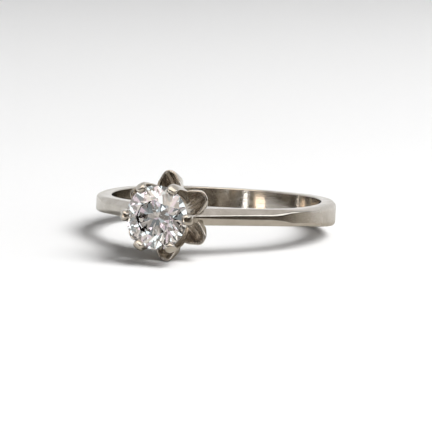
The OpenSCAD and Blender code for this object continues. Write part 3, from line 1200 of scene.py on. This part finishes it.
class RING_OT_stage(bpy.types.Operator):
    """Lay the floor, and place the lights and the camera"""

    bl_idname = "ring.stage"
    bl_label = "Stage"

    def execute(self, context):
        scene = context.scene
        deselect_all()
        bpy.ops.mesh.primitive_plane_add(size=FLOOR_SIZE)
        floor = begin("floor")
        bpy.ops.mesh.subdivide(number_cuts=FLOOR_CUTS)
        end_edit()
        floor.data.materials.append(pale_floor(scene.ring_finish))
        floor.visible_transmission = False
        for name, *place, in_metal in LIGHTS:
            add_softbox(name, *place).visible_glossy = in_metal
        self.lay_sheet()
        self.hang_surround()
        self.hang_dome()
        for card in CARDS:
            hang_card(*card)
        self.light_room(scene)
        scene.view_settings.view_transform = "Standard"
        self.place_camera(scene, scene.ring_stage)
        return {"FINISHED"}

    def lay_sheet(self):
        """A sheet on the floor that only the metal shows."""
        deselect_all()
        bpy.ops.mesh.primitive_plane_add(size=SHEET_SIZE, location=(0, 0, SHEET_HEIGHT))
        sheet = begin("sheet")
        end_edit()
        material, tree, shader = new_material("taupe_sheet")
        place = own_place(tree)
        x, y, _ = split(tree, place)
        from_centre = work_out(tree, "VectorMath", "DISTANCE", place, (CENTRE.x, CENTRE.y, 0))["Value"]
        near = patches(tree, 90.0, TAUPE, PALE_TAUPE, detail=3.0, edges=(0.35, 0.65))
        near = mix_colour(tree, SHEET_LEFT, (fade_along(tree, x, -0.015, 0, SHEET_REACH), near))
        far = mix_colour(tree, BROWN, (fade_along(tree, y, -0.008, 0.008, SHEET_REACH), SOFT_BROWN))
        # Inside the ring, dark patches on the sheet are painted shade.
        light = mix_colour(
            tree, patches(tree, 210.0, INSIDE_RING_SHADE, BARE_SHEET, detail=1.0, edges=(0.42, 0.6)),
            (fade_along(tree, from_centre, 0.008, 0.0086, INSIDE_REACH, middle=0.0), near),
            (fade_along(tree, x, 0.016, 0.024, SHEET_REACH), far),
            (fade_along(tree, y, 0.008, 0.02, SHEET_REACH), SHEET_BACK),
        )
        feed(tree, shader, Base_Color=light, Roughness=0.9)
        keep_for_reflections(sheet, material)

    def hang_surround(self):
        """A low wall all round, which the sides of the metal show."""
        deselect_all()
        bpy.ops.mesh.primitive_cylinder_add(
            vertices=ROUND_STEPS, radius=SURROUND_RADIUS, depth=SURROUND_HEIGHT, end_fill_type="NOTHING",
            location=(*CENTRE.xy, SURROUND_HEIGHT / 2),
        )
        wall = bpy.context.object
        wall.name = wall.data.name = "surround"
        material, tree, lamp = glow("surround")
        x, y, _ = split(tree, own_place(tree))
        light = mix_colour(
            tree, patches(tree, 40.0, UMBER, BARK),
            (fade_along(tree, y, -0.00625, 0.015, SURROUND_REACH), SURROUND_SIDES),
            (fade_along(tree, y, 0.015, 0.0375, SURROUND_REACH), SURROUND_BACK),
            (fade_along(tree, x, -0.0275, -0.045, -SURROUND_REACH), SURROUND_LEFT),
        )
        feed(tree, lamp, Color=light)
        keep_for_reflections(wall, material)

    def hang_dome(self):
        """A dome of pale and dark panes that only the stone shows."""
        deselect_all()
        bpy.ops.mesh.primitive_uv_sphere_add(
            segments=ROUND_STEPS // 2, ring_count=ROUND_STEPS // 4, radius=DOME_RADIUS,
            location=(*CENTRE.xy, 0),
        )
        dome = begin("dome")
        end_edit()
        material, tree, lamp = glow("panes")
        panes = add_node(tree, "TexVoronoi", Vector=own_place(tree), Scale=PANE_SCALE).outputs["Color"]
        red, green, blue = split(tree, panes)
        creamy, bluish = fade(tree, green, 0.45, 0.5), fade(tree, blue, 0.74, 0.78)
        tint = mix_colour(tree, ROSE, (creamy, CREAM), (bluish, SKY))
        lit = work_out(tree, "VectorMath", "MULTIPLY", tint, ramp(tree, red, *PANE_LEVELS))["Vector"]
        feed(tree, lamp, Color=lit, Strength=PANE_STRENGTH)
        keep_for_reflections(dome, material, in_metal=False, in_stone=True)

    def light_room(self, scene):
        """A room that is dim at the horizon and paler overhead, behind and to the left."""
        world = scene.world = bpy.data.worlds.new("studio")
        world.use_nodes = True
        tree = world.node_tree
        x, y, z = split(tree, add_node(tree, "TexCoord").outputs["Generated"])
        left = maths(tree, "MULTIPLY", x, -1.0)
        light = mix_colour(
            tree, ROOM_LOW, (fade(tree, z, 0.25, 0.8), ROOM_HIGH), (fade(tree, y, 0.3, 0.75), ROOM_BACK),
            (fade(tree, left, 0.35, 0.75), ROOM_LEFT), (fade(tree, z, 0.9, 0.96), ROOM_ZENITH),
        )
        feed(tree, tree.nodes["Background"], Color=light)
        world.cycles_visibility.diffuse = False

    def place_camera(self, scene, sizes):
        """Looks at the ring's centre from the picture's angle."""
        camera = bpy.data.objects.new("camera", bpy.data.cameras.new("camera"))
        scene.collection.objects.link(camera)
        back = direction(sizes.azimuth, sizes.elevation)
        look = (-back).to_track_quat("-Z", "Y")
        camera.rotation_euler = (look.to_matrix() @ Matrix.Rotation(sizes.roll, 3, "Z")).to_euler()
        camera.data.sensor_width = SENSOR_WIDTH
        camera.data.lens = sizes.lens
        camera.data.shift_y = -sizes.rise
        camera.location = CENTRE + back * sizes.distance
        camera.data.clip_start, camera.data.clip_end = CLIP_NEAR, CLIP_FAR
        bpy.context.scene.camera = camera


class RING_PT_pieces(bpy.types.Panel):
    """Lists the ring's pieces"""

    bl_label = "Solitaire Ring"
    bl_space_type = "VIEW_3D"
    bl_region_type = "UI"
    bl_category = "Ring"

    def draw(self, context):
        for operator in OPERATORS:
            self.layout.operator(operator.bl_idname)
        for name in SETTINGS:
            settings = getattr(context.scene, name)
            box = self.layout.box()
            for key in settings.__annotations__:
                box.prop(settings, key)


OPERATORS = (RING_OT_band, RING_OT_calyx, RING_OT_claws, RING_OT_stone, RING_OT_stage)
SETTINGS = {
    "ring_band": BandSizes,
    "ring_calyx": CalyxSizes,
    "ring_claw": ClawSizes,
    "ring_stone": StoneSizes,
    "ring_finish": FinishColours,
    "ring_stage": StageSizes,
}


def register():
    """Registers the sizes, the operators and the panel."""
    for group in (*SETTINGS.values(), *OPERATORS, RING_PT_pieces):
        bpy.utils.register_class(group)
    for name, group in SETTINGS.items():
        setattr(bpy.types.Scene, name, PointerProperty(type=group))


def unregister():
    """Takes out what register put in."""
    for name in SETTINGS:
        delattr(bpy.types.Scene, name)
    for group in (RING_PT_pieces, *reversed(OPERATORS), *reversed(tuple(SETTINGS.values()))):
        bpy.utils.unregister_class(group)


def main():
    """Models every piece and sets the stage."""
    register()
    bpy.ops.ring.band()
    bpy.ops.ring.calyx()
    bpy.ops.ring.claws()
    bpy.ops.ring.stone()
    bpy.ops.ring.stage()
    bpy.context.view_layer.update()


if __name__ == "__main__":
    main()
